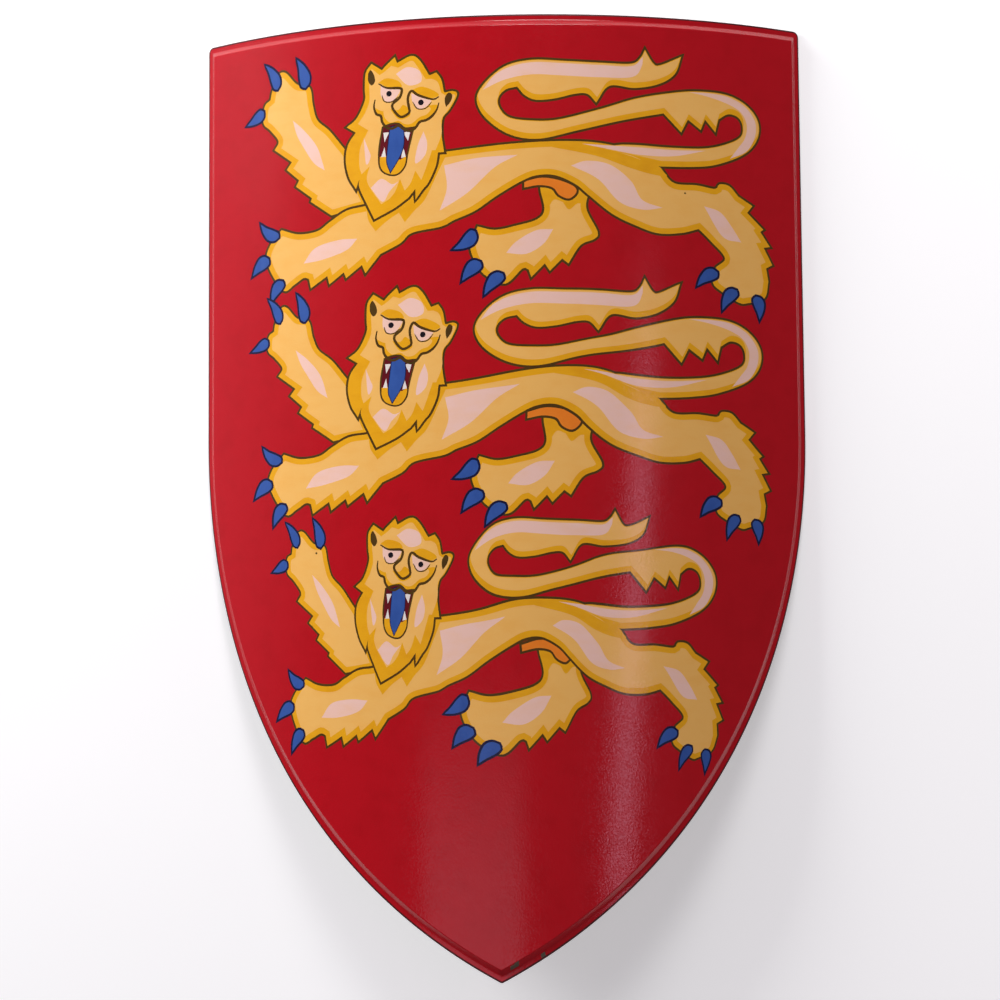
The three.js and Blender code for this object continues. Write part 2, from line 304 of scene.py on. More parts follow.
def drop(tip_u, tip_v, base_u, base_v, width, bend=0.0):
    """A claw with a round base, and a tip that bends to one side"""
    tip = np.array([tip_u, tip_v], float)
    along = np.array([base_u, base_v], float) - tip
    side = np.array([-along[1], along[0]]) / np.linalg.norm(along) * width / 2
    lean = side * bend

    def at(share, reach):
        return tip + along * share + side * reach + lean * 4 * share * (1 - share)

    left = [tip, at(0.3, 0.55), at(0.65, 1.0), at(0.9, 0.8), at(1.0, 0.0)]
    right = [at(1.0, 0.0), at(0.9, -0.8), at(0.65, -1.0), at(0.3, -0.55), tip]
    return closed(smooth(*np.ravel(left)), smooth(*np.ravel(right)))


# The lion, in millimetres about the bridge of its nose

FAR_FORELEG = closed(
    smooth(-131, 21, -129, 29, -123, 41, -116, 42, -105, 31, -93, 27, -90, 12, -86, -1, -75, -11,
           -65, -23, -57, -34, -50, -54, -40, -76),
    sharp(-73, -82, -92, -69, -91, -66, -106, -55, -103, -50, -115, -40, -110, -34, -127, -22),
    smooth(-127, -22, -123, -15, -131, -5, -138, 2, -137, 16, -131, 21),
)
FAR_HIND_LEG = closed(
    smooth(102, -60, 102, -69, 105, -85, 99, -93, 82, -98, 65, -101, 51, -98),
    smooth(51, -98, 45, -112, 48, -125, 57, -138, 73, -145, 87, -133, 92, -134),
    sharp(94, -140, 105, -129, 109, -135, 119, -125, 124, -129),
    smooth(124, -129, 134, -114, 145, -109, 148, -103, 139, -84, 142, -68),
)
BODY = closed(
    smooth(-30, -70, -41, -76, -59, -79, -74, -87, -86, -94, -104, -95, -120, -90),
    smooth(-120, -90, -128, -97, -135, -110, -131, -124, -118, -141, -108, -137, -99, -132, -94, -133),
    sharp(-92, -141, -77, -132, -75, -139, -62, -130, -60, -135, -46, -125, -43, -132, -30, -117),
    smooth(-30, -117, -13, -109, -3, -101, 21, -97, 32, -92, 49, -85, 67, -73, 86, -62, 99, -57,
           114, -57, 130, -64, 141, -73, 160, -88, 179, -97, 198, -103, 218, -102, 233, -98),
    smooth(233, -98, 244, -108, 256, -121, 247, -130, 245, -142, 253, -149, 268, -157, 276, -157,
           292, -152, 296, -138),
    sharp(296, -138, 294, -127, 300, -124, 292, -110, 298, -109, 289, -97, 292, -95, 277, -82,
          282, -76, 269, -69),
    smooth(269, -69, 261, -61, 252, -60, 248, -64, 232, -62, 212, -61, 201, -49),
    smooth(201, -49, 190, -41, 176, -35, 149, -30, 118, -29, 77, -31, 23, -36),
)
TAIL = closed(
    smooth(146, -38, 162, -32, 180, -31, 209, -32, 239, -31, 259, -26, 272, -19, 274, -10, 270, -3,
           261, -1, 252, -6),
    sharp(252, -6, 249, -17, 240, -7, 236, -16, 225, -8, 219, -19, 204, -4),
    smooth(204, -4, 170, -11, 133, -20, 101, -27, 77, -23, 58, -9, 51, 6, 57, 19, 74, 33, 96, 38,
           124, 37, 152, 36, 177, 36, 185, 41, 189, 48),
    smooth(189, 48, 196, 37, 202, 36, 220, 44),
    smooth(220, 44, 214, 29, 200, 20, 180, 16, 159, 17, 148, 3),
    smooth(148, 3, 141, 10, 131, 10, 114, 6, 99, 5, 90, 9, 84, 16),
    smooth(84, 16, 75, 14, 69, 8, 69, 0, 77, -9, 96, -12, 118, -11, 152, -2, 180, 7, 209, 13, 233, 16,
           260, 15, 279, 7, 289, -6, 287, -21, 274, -34, 249, -44, 228, -47, 201, -48),
)
MANE = closed(
    smooth(-37, 41, -42, 34, -43, 21, -43, 11, -50, -3, -59, -10),
    smooth(-51, -15, -58, -25, -60, -38, -57, -52, -51, -62),
    smooth(-48, -54, -48, -61, -41, -76, -35, -88),
    smooth(-35, -88, -18, -80, -6, -72),
    sharp(-6, -72, 0, -65, 0, -74),
    smooth(0, -74, 6, -66, 11, -60, 17, -47, 19, -36),
    smooth(24, -36, 22, -21, 23, -8, 28, -2, 33, 6, 35, 12, 31, 14, 25, 13),
    smooth(24, 14, 22, 24, 18, 30),
    smooth(12, 28, 4, 41, -3, 45, -15, 40),
    smooth(-17, 45, -24, 39, -28, 35),
)
MANE_LIGHT = closed(
    smooth(-37, 37, -39, 24, -39, 10, -43, 0),
    sharp(-49, -8, -40, -14),
    smooth(-40, -14, -47, -28, -48, -42, -46, -50),
    smooth(-39, -44, -41, -57, -29, -76),
    smooth(-22, -72, -17, -66, -13, -56),
    smooth(-9, -66, -4, -60, 0, -50),
    smooth(5, -58, 9, -48, 14, -34),
    smooth(17, -34, 22, -21, 22, -9, 27, -2, 32, 6, 33, 11, 25, 11),
    smooth(22, 13, 19, 22, 14, 25),
    smooth(9, 25, 2, 36, -3, 41, -14, 36),
    smooth(-20, 38, -25, 34, -30, 31),
)
ACCENT = closed(
    smooth(89, -67, 101, -65, 112, -67, 117, -73, 125, -76, 131, -71, 129, -66, 117, -61, 103, -59,
           89, -62),
)
MUZZLE = closed(
    smooth(-34, 4, -32, -1, -28, -4, -27, -9, -22, -14, -14, -13, -10, -16, -4, -16, 4, -11, 12, -8,
           18, -3, 19, 3, 12, 3, 4, 0, -4, -5, -12, -6, -20, 0, -28, 1, -34, 4),
)
MUZZLE_LIGHT = closed(
    smooth(-27, 3, -26, -4, -21, -9, -14, -8, -9, -11, -3, -11, 4, -6, 10, -4, 13, 1, 4, 4, -8, 6,
           -18, 5, -27, 3),
)
MOUTH = closed(
    smooth(-27, -13, -30, -30, -30, -43, -27, -49, -20, -52, -14, -51, -9, -45, -7, -35, -2, -15),
    smooth(-2, -15, -9, -15, -14, -11, -21, -11, -27, -13),
)
JAW = closed(
    smooth(-30, -37, -25, -36, -21, -50, -17, -41, -12, -40, -8, -38, -9, -45, -14, -51, -20, -52,
           -27, -49, -30, -43, -30, -37),
)
TONGUE = closed(
    smooth(-21, -13, -23, -29, -24, -41, -21, -50),
    smooth(-21, -50, -14, -39, -10, -29, -10, -16, -13, -12, -21, -13),
)
NOSE = closed(
    smooth(-21, 2, -14, 1, -10, 5, -5, 1, -4, -4, -10, -7, -15, -6, -21, 2),
)
LEFT_EYE = closed(
    smooth(-29, 22, -29, 14, -25, 9, -19, 9, -14, 14, -12, 18),
    smooth(-12, 18, -19, 19, -29, 22),
)
RIGHT_EYE = closed(
    smooth(-3, 14, -2, 6, 3, 1, 9, 2, 14, 7),
    smooth(14, 7, 8, 9, -3, 14),
)

LEG_HIGHLIGHTS = {
    "far_foreleg": closed(
        smooth(-109, 1, -98, -9, -86, -24, -79, -44),
        smooth(-79, -44, -89, -37, -98, -24, -105, -12, -109, 1),
    ),
    "near_foreleg": closed(
        smooth(-99, -120, -88, -108, -67, -103, -50, -103),
        smooth(-50, -103, -60, -112, -81, -118, -99, -120),
    ),
    "far_hind_leg": closed(
        smooth(74, -120, 82, -111, 98, -102, 112, -101),
        smooth(112, -101, 104, -113, 90, -121, 74, -120),
    ),
}
BODY_HIGHLIGHTS = [
    closed(smooth(24, -47, 50, -42, 84, -40), smooth(84, -40, 65, -50, 43, -70, 20, -84),
           smooth(20, -84, 26, -66, 24, -47)),
    closed(smooth(127, -49, 140, -45, 159, -48, 176, -61, 185, -76, 202, -82),
           smooth(202, -82, 185, -84, 166, -78, 149, -60, 127, -49)),
    closed(smooth(238, -79, 252, -83, 262, -94, 271, -107), smooth(271, -107, 254, -103, 238, -79)),
]
TAIL_HIGHLIGHTS = [
    closed(smooth(56, 14, 66, 26, 80, 33, 98, 36, 124, 35, 152, 34, 178, 34, 187, 42),
           smooth(187, 42, 186, 34, 178, 25, 150, 24, 122, 25, 96, 26, 74, 22, 56, 14)),
    closed(smooth(226, 15, 246, 15, 262, 13, 277, 6, 286, -6, 285, -19, 277, -31, 262, -38),
           smooth(262, -38, 270, -28, 276, -20, 278, -9, 273, 1, 262, 7, 244, 12, 226, 15)),
]
MANE_HIGHLIGHTS = [
    closed(smooth(-16, 31, -6, 36, 4, 32, 5, 23, -6, 21, -16, 31)),
    closed(smooth(-38, -62, -29, -55, -20, -60, -14, -58), smooth(-14, -58, -22, -66, -28, -74, -38, -62)),
    closed(smooth(-44, -20, -40, -30, -38, -36, -42, -42, -44, -20)),
    closed(smooth(7, -18, 10, -28, 8, -38, 0, -44, 2, -30, 7, -18)),
]
FACE_LINES = [
    stroke(2.2, -31, 24, -24, 20, -13, 19, -11, 17, -13, 11, -19, 6, -18, 1, -12, -5, -5, -2, -5, 2,
           -6, 10, -3, 16, 3, 12, 15, 8, 20, 10),
    stroke(2.2, -34, 11, -35, 5, -33, -1, -29, -3, -28, -8, -24, -13, -19, -14, -14, -12, -10, -15,
           -5, -17, 0, -15, 4, -10, 9, -9, 14, -6, 18, -1, 20, 5),
    stroke(1.0, -28, 14, -26, 9, -20, 8, -14, 12),
    stroke(1.0, -2, 7, 2, 1, 9, 1, 14, 6),
]
BROWS = [
    closed(smooth(-31, 25, -24, 28, -14, 25, -11, 20, -16, 20, -24, 21, -31, 25)),
    closed(smooth(-2, 17, 6, 19, 16, 15, 20, 11, 13, 9, 3, 13, -2, 17)),
]
EARS = [
    closed(smooth(-40, 33, -38, 36, -35, 32, -34, 26, -37, 23, -40, 27, -40, 33)),
    closed(smooth(26, 1, 30, 6, 31, 11, 28, 13, 25, 9, 25, 4, 26, 1)),
]
TEETH = [closed(sharp(*tooth)) for tooth in (
    (-27, -17, -26, -25, -22, -17), (-29, -37, -26, -29, -25, -37),
    (-10, -18, -6, -25, -4, -17), (-12, -39, -10, -30, -8, -38),
)]
FAR_CLAWS = [
    drop(-136, 51, -124, 29, 8.5, 0.6),
    drop(-105, 52, -97, 27, 9.5, 0.5),
    drop(-155, 2, -138, 12, 8.5, -0.3),
]
FAR_HIND_CLAWS = [
    drop(31, -116, 49, -102, 10, -0.5),
    drop(38, -142, 53, -127, 10, 0.3),
    drop(56, -154, 71, -137, 9.5, 0.4),
]
NEAR_CLAWS = [
    drop(-141, -83, -123, -96, 9, -0.6),
    drop(-149, -126, -133, -113, 10, 0.3),
    drop(-130, -150, -119, -133, 9, 0.4),
    drop(231, -145, 249, -133, 9.5, 0.5),
    drop(253, -164, 266, -147, 9.5, 0.5),
    drop(287, -170, 284, -151, 9.5, -0.4),
]
CHEST_SHADE = closed(
    smooth(-42, -78, -40, -89, -34, -98),
    smooth(-34, -98, -24, -90, -14, -84),
    smooth(-9, -92, -1, -83, 8, -74, 18, -54, 24, -42, 26, -37),
    sharp(26, -37, 0, -50, -34, -76, -42, -78),
)
THIGH_SHADE = closed(
    smooth(100, -66, 103, -79, 108, -84),
    smooth(108, -84, 113, -77, 120, -79),
    smooth(120, -79, 125, -85, 132, -80, 140, -80, 143, -66),
    sharp(143, -66, 100, -66),
)
ROOT_SHADE = closed(
    smooth(112, -31, 150, -34, 178, -41, 201, -50),
    smooth(201, -50, 206, -56, 190, -54, 172, -49, 148, -41, 112, -34),
)
ROOT_LIGHT = closed(
    smooth(136, -31, 156, -32, 182, -33, 212, -34, 240, -33),
    smooth(240, -33, 212, -39, 184, -39, 158, -35, 136, -31),
)

# How far the dark outlines stand out, and how far the light gold lies in from a part's edge. On the tail,
# it is also moved up, so that the deep gold shows on the lower sides alone.
OUTLINE_WIDTH = 1.9
MOUTH_OUTLINE = 1.4
TONGUE_OUTLINE = 0.7
SHADE_WIDTH = 4.6
TAIL_INSET = 0.6
TAIL_SHADE = (0.8, 4.6)
PUPILS = [(-22, 15), (5, 6)]
PUPIL_RADIUS = 2.4

# The place that the far hind leg is stretched from
LEG_PIVOT = (45, 0)


def lion(leg_stretch):
    """The layers of one lion from the lowest up. Each is the shapes that its paint has to lie inside, and
    the paint. The far hind leg is stretched across."""
    layers = []

    def add(paint, *shapes):
        layers.extend(([shape], paint) for shape in shapes)

    def limb(outlines, lights, highlights, claws):
        add(LINE, *[grown(shape, OUTLINE_WIDTH) for shape in outlines])
        add(DEEP, *outlines)
        add(LIGHT, *lights)
        add(PINK, *highlights)
        add(NAVY, *[grown(claw, OUTLINE_WIDTH) for claw in claws])
        add(BLUE, *claws)

    limb([FAR_FORELEG], [grown(FAR_FORELEG, -SHADE_WIDTH)], [LEG_HIGHLIGHTS["far_foreleg"]], FAR_CLAWS)
    leg, highlight, shade, accent, *claws = [
        (shape - LEG_PIVOT) * [leg_stretch, 1] + LEG_PIVOT
        for shape in (FAR_HIND_LEG, LEG_HIGHLIGHTS["far_hind_leg"], THIGH_SHADE, ACCENT, *FAR_HIND_CLAWS)
    ]
    limb([leg], [grown(leg, -SHADE_WIDTH)], [highlight], claws)
    layers.append(([leg, shade], DEEP))
    add(LINE, grown(accent, OUTLINE_WIDTH))
    add(ORANGE, accent)
    limb([BODY, TAIL], [grown(BODY, -SHADE_WIDTH)],
         [LEG_HIGHLIGHTS["near_foreleg"], *BODY_HIGHLIGHTS], NEAR_CLAWS)
    add(DEEP, CHEST_SHADE)
    layers.append(([grown(TAIL, -TAIL_INSET), TAIL + TAIL_SHADE], LIGHT))
    add(DEEP, ROOT_SHADE)
    add(PINK, ROOT_LIGHT, *TAIL_HIGHLIGHTS)
    add(LINE, grown(MANE, OUTLINE_WIDTH))
    add(DEEP, MANE)
    add(LIGHT, MANE_LIGHT)
    add(PINK, *MANE_HIGHLIGHTS)
    add(LINE, *EARS)
    add(DEEP, *BROWS, MUZZLE)
    add(LIGHT, MUZZLE_LIGHT)
    add(DEEP, NOSE)
    add(PINK, LEFT_EYE, RIGHT_EYE)
    add(LINE, grown(MOUTH, MOUTH_OUTLINE))
    add(MAROON, MOUTH)
    add(DEEP, JAW)
    add(WHITE, *TEETH)
    add(NAVY, grown(TONGUE, TONGUE_OUTLINE))
    add(BLUE, TONGUE)
    add(LINE, *FACE_LINES)
    for u, v in PUPILS:
        add(BLACK, dot(u, v, PUPIL_RADIUS))
    return layers


# Where each lion stands on the blank, and how far it is squeezed across and down. All were painted by hand
# from one pattern, so the lower two differ a little: their far hind leg is wider, and each nudge is a place
# in the pattern and how far the paint near it moves. The reach is how far a nudge is felt.
LIONS = [
    {"place": (-65.6, 701.1), "scale": (1.0, 1.0), "leg_stretch": 1.0, "nudges": []},
    {"place": (-64.9, 510.0), "scale": (0.993, 0.967), "leg_stretch": 1.04, "nudges": [
        (-130, 42, 3, -8), (-102, 44, -5, -3), (-150, 5, 4, 0), (-115, -35, 2, 1), (-130, -110, 1, 1),
        (-72, -88, 0, 3), (-10, 0, 0, 0), (-5, 42, 0, 3), (30, 8, 2, 1), (22, -22, -2, 0), (-35, -88, 0, 1),
        (60, -60, 0, 0), (35, -92, 0, 3), (86, -62, 0, 3), (185, -98, 0, 3), (60, -130, -1, 1),
        (100, -92, -4, 0), (146, -110, -4, 0), (53, 8, -8, 5), (96, 34, -1, 5), (150, 30, 0, 7),
        (210, 34, -4, 6), (96, -12, 0, 8), (130, -26, 0, 8), (180, 5, 0, 2), (262, 14, 0, 5),
        (203, -50, -4, 0), (285, -15, 0, 0), (252, -60, 0, 2), (296, -122, -5, 0), (292, -145, -7, 1),
        (245, -122, -2, 0), (231, -144, 2, 0), (255, -160, 8, -2), (286, -168, -5, 6),
    ]},
    {"place": (-66.3, 323.8), "scale": (0.835, 0.964), "leg_stretch": 1.13, "nudges": [
        (-133, 48, -2, -8), (-104, 48, -2, -4), (-150, 3, 2, 3), (-110, -40, 3, 0), (-70, -15, 1, 0),
        (-138, -86, 8, 2), (-147, -122, 2, 8), (-128, -147, -2, 1), (-78, -134, 0, -4), (-42, -124, 2, -4),
        (-98, -95, 1, 5), (-68, -84, 0, -1), (-40, 34, -8, 0), (-57, -12, -5, 0), (-23, 15, -4, 0),
        (5, 6, 0, 2), (26, 8, 2, 0), (-3, 45, -4, 1), (14, 30, 2, 4), (-35, -88, -2, -2), (24, -20, -5, 0),
        (53, 8, 1, 7), (96, 36, 0, 7), (150, 36, 1, 7), (218, 44, 5, 0), (100, -10, 0, 10), (180, 2, 0, 7),
        (262, 14, 1, 7), (287, -8, 3, 1), (232, -10, 6, 4), (130, -28, 0, 7), (203, -50, -6, 0),
        (60, -60, 0, 0), (35, -35, 0, -2), (175, -95, 0, 5), (294, -124, -3, 0), (280, -80, 1, 1),
        (250, -125, 3, 0), (231, -144, -1, 1), (254, -160, 3, 1), (286, -168, -13, 6), (45, -125, -3, 0),
        (85, -140, 7, -7), (120, -125, 7, -4), (110, -72, 10, 2), (146, -105, 8, 0),
    ]},
]
NUDGE_REACH = 22
NUDGE_HOLD = 0.2


def shifts(shape, nudges):
    """How far the nudges move each point of the shape. The hold lets the move fade out far from all."""
    if not nudges:
        return 0
    places, moves = np.hsplit(np.array(nudges, float), 2)
    nearness = np.exp(-((shape[:, None] - places) ** 2).sum(2) / (2 * NUDGE_REACH ** 2))
    return nearness @ moves / (nearness.sum(1, keepdims=True) + NUDGE_HOLD)


# Specks in the paint, and chips down to the metal on the rim by the point
BLEMISHES = [(156, 632, 0.8), (-153, 342, 0.9), (-149, 345, 0.6)]
CHIPS = [
    closed(smooth(6, 10, 10, 12, 14, 15, 13, 18, 8, 14, 6, 10)),
    closed(smooth(31, 20, 35, 22, 34, 24, 30, 22, 31, 20)),
]


def painted_layers():
    """All layers of paint over the red field, in their places on the blank"""
    layers = []
    for each in LIONS:
        for shapes, paint in lion(each["leg_stretch"]):
            layers.append(([shape * each["scale"] + each["place"] + shifts(shape, each["nudges"])
                            for shape in shapes], paint))
    for u, v, radius in BLEMISHES:
        layers.append(([dot(u, v, radius)], LINE))
    return layers


def inside(points, shape):
    """Which points the outline turns anticlockwise round"""
    result = np.zeros(len(points), bool)
    low, high = shape.min(0), shape.max(0)
    near = np.flatnonzero(((points > low) & (points < high)).all(1))
    if not len(near):
        return result
    u, v = points[near].T[:, :, None]
    start, end = shape, np.roll(shape, -1, axis=0)
    turn = (end[:, 0] - start[:, 0]) * (v - start[:, 1]) - (u - start[:, 0]) * (end[:, 1] - start[:, 1])
    rising = (start[:, 1] <= v) & (end[:, 1] > v) & (turn > 0)
    falling = (start[:, 1] > v) & (end[:, 1] <= v) & (turn < 0)
    result[near] = rising.sum(1) - falling.sum(1) > 0
    return result


# The sheet

# How many points the stretches of its outline have
TURN_POINTS = 7
ARC_POINTS = 135
STRAIGHT_POINTS = 82
TOP_POINTS = 134


def outline(inset):
    """The blank's outline, inset from the cut edge, anticlockwise from the point. Every inset gives as
    many points, so that two of them can be joined."""
    tip_inset = max(inset, TIP_RADIUS)
    tip_v = SHOULDER - math.sqrt((SIDE_ARC_RADIUS - tip_inset) ** 2 - ARC_CENTRE ** 2)
    arc_end = math.acos(-ARC_CENTRE / (SIDE_ARC_RADIUS - tip_inset))
    corner_inset = max(inset, CORNER_RADIUS)
    side_top = SHIELD_HEIGHT - corner_inset

    def arc(u, v, radius, first, last, count):
        angles = np.linspace(first, last, count)
        return np.column_stack([u + radius * np.cos(angles), v + radius * np.sin(angles)])

    half = np.vstack([
        arc(0, tip_v, tip_inset - inset, -math.pi / 2, -arc_end, TURN_POINTS),
        arc(ARC_CENTRE, SHOULDER, SIDE_ARC_RADIUS - inset, -arc_end, 0, ARC_POINTS)[1:],
        np.column_stack([np.full(STRAIGHT_POINTS, HALF_WIDTH - inset),
                         np.linspace(SHOULDER, side_top, STRAIGHT_POINTS)])[1:],
        arc(HALF_WIDTH - corner_inset, side_top, corner_inset - inset, 0, math.pi / 2, TURN_POINTS)[1:],
    ])
    top = np.column_stack([np.linspace(half[-1, 0], -half[-1, 0], TOP_POINTS),
                           np.full(TOP_POINTS, half[-1, 1])])[1:-1]
    return np.vstack([half, top, (half[1:] * [-1, 1])[::-1]])


# Inset from the cut edge and depth below the face, from the edge to the field's first ring. The outermost
# bands of the front, round the cut edge, are painted a darker red.
RIM_BACK = RIM_DROP + SHEET_WALL
FIELD_INSET = 11.2
FRONT_PROFILE = [
    (0, RIM_DROP + 1.2), (0, RIM_DROP + 0.6), (0.15, RIM_DROP + 0.25), (0.5, RIM_DROP + 0.05),
    (1.0, RIM_DROP), (1.5, RIM_DROP), (2.9, RIM_DROP), (4.6, RIM_DROP), (5.2, RIM_DROP - 0.08),
    (5.8, RIM_DROP - 0.45), (8.9, 0.6), (9.35, 0.22), (9.7, 0.05), (10.1, 0), (FIELD_INSET, 0),
]
EDGE_BANDS = 5
BACK_PROFILE = [
    (0.15, RIM_BACK - 0.1), (0.5, RIM_BACK), (2.8, RIM_BACK), (4.4, RIM_BACK), (5.2, RIM_BACK - 0.1),
    (6.0, RIM_BACK - 0.6), (9.2, SHEET_WALL + 0.5), (10.0, SHEET_WALL + 0.1), (FIELD_INSET, SHEET_WALL),
]

# The spacing of the points inside the field, in front and behind, and the shares of it between their rows
# and up to the ring
FRONT_SPACING = 6.5
BACK_SPACING = 11
ROW_SHARE = 0.87
MARGIN_SHARE = 0.4

# How near a vertex is to a face of the cylinder, to take its normal, and how near two points of a ring are,
# to count as one
LEVEL_TOLERANCE = 0.003
POINT_TOLERANCE = 0.01


def mesh_object(name, vertices, faces, materials, paints=None):
    """A mesh object from vertices in millimetres, with the vertices that coincide joined"""
    _, first, where = np.unique(np.round(vertices, 3), axis=0, return_index=True, return_inverse=True)
    where = where.ravel()
    rows, kept = [], []
    for number, face in enumerate(faces):
        row = list(dict.fromkeys(int(where[i]) for i in face))
        if len(row) > 2:
            rows.append(row)
            kept.append(number)
    mesh = bpy.data.meshes.new(name)
    mesh.from_pydata([tuple(p) for p in np.asarray(vertices)[first] * MM], [], rows)
    for material in materials:
        mesh.materials.append(material)
    if paints is not None:
        mesh.polygons.foreach_set("material_index", np.asarray(paints)[kept].astype(np.int32))
    mesh.polygons.foreach_set("use_smooth", np.ones(len(rows), bool))
    mesh.update()
    result = bpy.data.objects.new(name, mesh)
    bpy.context.scene.collection.objects.link(result)
    return result


def grid_points(spacing):
    """Points of a grid with every other row shifted, well inside the field"""
    margin = FIELD_INSET + MARGIN_SHARE * spacing
    us = np.arange(-HALF_WIDTH, HALF_WIDTH, spacing)
    vs = np.arange(0, SHIELD_HEIGHT, spacing * ROW_SHARE)
    points = np.array([(u + (j % 2) * spacing / 2, v) for j, v in enumerate(vs) for u in us])
    return points[inside(points, outline(margin))]


def fill(ring, loops, spacing):
    """Triangles inside the ring, with every loop's line kept as edges"""
    points = [ring, grid_points(spacing)]
    start = len(points[0]) + len(points[1])
    count = len(ring)
    edges = [(i, (i + 1) % count) for i in range(count)]
    for loop in loops:
        points.append(loop)
        edges += [(start + i, start + (i + 1) % len(loop)) for i in range(len(loop))]
        start += len(loop)
    flat = np.vstack(points)
    found, _, faces, sources, *_ = delaunay_2d_cdt([Vector(p) for p in flat], edges, [], 0, 1e-4)
    found = np.array([flat[source[0]] if source else tuple(p) for p, source in zip(found, sources)])
    faces = np.array(faces)
    return found, faces[inside(found[faces].mean(1), ring)]


def vectors(items, name):
    """A vector of every item, as the rows of an array"""
    values = np.zeros(len(items) * 3)
    items.foreach_get(name, values)
    return values.reshape(-1, 3)


def shield_plate():
    """The painted sheet: rings of faces over the rim and round the cut edge, and triangles over the field"""
    layers = painted_layers()
    vertices, faces, paints = [], [], []
    total = 0

    def rings(profile, paint_of, chips, flip):
        """Adds a band of faces between each two outlines of the profile"""
        nonlocal total
        flats = [outline(inset) for inset, _ in profile]
        size = len(flats[0])
        vertices.extend(bent(flat, FACE_RADIUS - depth) for flat, (_, depth) in zip(flats, profile))
        for k in range(len(profile) - 1):
            middles = (flats[k] + np.roll(flats[k + 1], -1, axis=0)) / 2
            low = total + k * size
            for i, middle in enumerate(middles):
                j = (i + 1) % size
                quad = [low + i, low + j, low + size + j, low + size + i]
                faces.append(quad[::-1] if flip else quad)
                chipped = any(inside(middle[None], chip)[0] for chip in chips)
                paints.append(CHIP if chipped else paint_of(k))
        total += size * len(profile)

    rings(FRONT_PROFILE, lambda k: EDGE if k < EDGE_BANDS else RED, CHIPS, False)
    rings([FRONT_PROFILE[0], *BACK_PROFILE], lambda k: BACK, [], True)
    ring = outline(FIELD_INSET)
    unique_ring = ring[np.linalg.norm(ring - np.roll(ring, 1, axis=0), axis=1) > POINT_TOLERANCE]
    painted = [shape for shapes, _ in layers for shape in shapes]
    fields = [(0, painted, FRONT_SPACING, RED), (SHEET_WALL, [], BACK_SPACING, BACK)]
    for depth, loops, spacing, paint in fields:
        flat, triangles = fill(unique_ring, loops, spacing)
        vertices.append(bent(flat, FACE_RADIUS - depth))
        centres = flat[triangles].mean(1)
        colours = np.full(len(triangles), paint)
        if loops:
            for shapes, colour in layers:
                colours[np.all([inside(centres, shape) for shape in shapes], axis=0)] = colour
        else:
            triangles = triangles[:, ::-1]
        faces.extend((triangles + total).tolist())
        paints.extend(colours.tolist())
        total += len(flat)

    vertices = np.vstack(vertices)
    plate = mesh_object("painted_sheet", vertices, faces, [paint_box[k] for k in sorted(paint_box)], paints)
    mesh = plate.data
    co = vectors(mesh.vertices, "co") / MM
    normal = vectors(mesh.vertex_normals, "vector")
    axis_z = CROWN_HEIGHT - FACE_RADIUS
    radius = np.hypot(co[:, 0], co[:, 2] - axis_z)
    outward = np.column_stack([co[:, 0], np.zeros(len(co)), co[:, 2] - axis_z]) / radius[:, None]
    for level, side in ((FACE_RADIUS, 1), (INNER_RADIUS, -1)):
        flat = np.abs(radius - level) < LEVEL_TOLERANCE
        normal[flat] = outward[flat] * side
    mesh.normals_split_custom_set_from_vertices([tuple(n) for n in normal])
    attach(plate, "root")
    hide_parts("shield_plate")


shield_plate()


# The straps and their fittings. Each strap has a frame of its own, with its origin on the inner face of the
# sheet: x runs across the strap, y along it and z into the hollow.

STRAP_OFFSET = 92
STRAP_RISE = 84
LEATHER_THICKNESS = 3.2
TAIL_LENGTH = 32
TAIL_ROUNDING = 10
FOLD_BLEND = 12
ROD_RADIUS = 2.5
ROD_BEND = 4.5
FOOT_LENGTH = 12
LOOP_LIFT = 12.8
TOUCH_GAP = 0.3
SIDE_GAP = 0.8
RIVET_DISTANCE = 21
RIVET_HEAD = 4.5
RIVET_HEIGHT = 1.6
WASHER_HEIGHT = 0.9
SHANK_RADIUS = 1.6
HAMMERED_HEIGHT = 0.5
FOLD_RADIUS = ROD_RADIUS + TOUCH_GAP + LEATHER_THICKNESS / 2
LEG_OFFSET = SIDE_GAP + ROD_BEND

# The groove along both sides of the leather, and its ends, which are cut thinner
GROOVE_INSET = 3.2
GROOVE_HALF_WIDTH = 0.6
GROOVE_DEPTH = 0.4
THIN_SHARE = 0.55
THIN_LENGTH = 0.8

# The weld: how far past the leg it begins and past the foot it ends, its height and half its width, how
# deep it sits, and its ripples
WELD_START = 3.5
WELD_OVERRUN = 2.2
WELD_HEIGHT = 2.9
WELD_HALF_WIDTH = 4.7
WELD_SINK = 0.4
RIPPLE_LENGTH = 1.7
RIPPLE = 0.05


def strap_leather():
    finish = Finish("strap_leather", (92, 52, 30), 0.5)
    finish.tint(finish.ranged(finish.noise(30, 6), 0.4, 0.7, 0, 0.7), (62, 33, 18))
    finish.tint(finish.ranged(finish.noise(75, 8, roughness=0.7), 0.58, 0.74, 0, 0.5), (128, 80, 48))
    finish.rough(finish.ranged(finish.noise(60, 4), 0.3, 0.7, 0.38, 0.62))
    finish.bump(finish.cells(900), 0.00012, 0.6)
    finish.bump(finish.noise(160, 4), 0.00025, 0.6)
    return finish.material


def cut_leather():
    finish = Finish("strap_edge", (58, 32, 20), 0.6)
    finish.tint(finish.ranged(finish.noise(240, 4), 0.4, 0.7, 0, 0.6), (88, 54, 34))
    finish.bump(finish.noise(500, 3), 0.0001)
    return finish.material


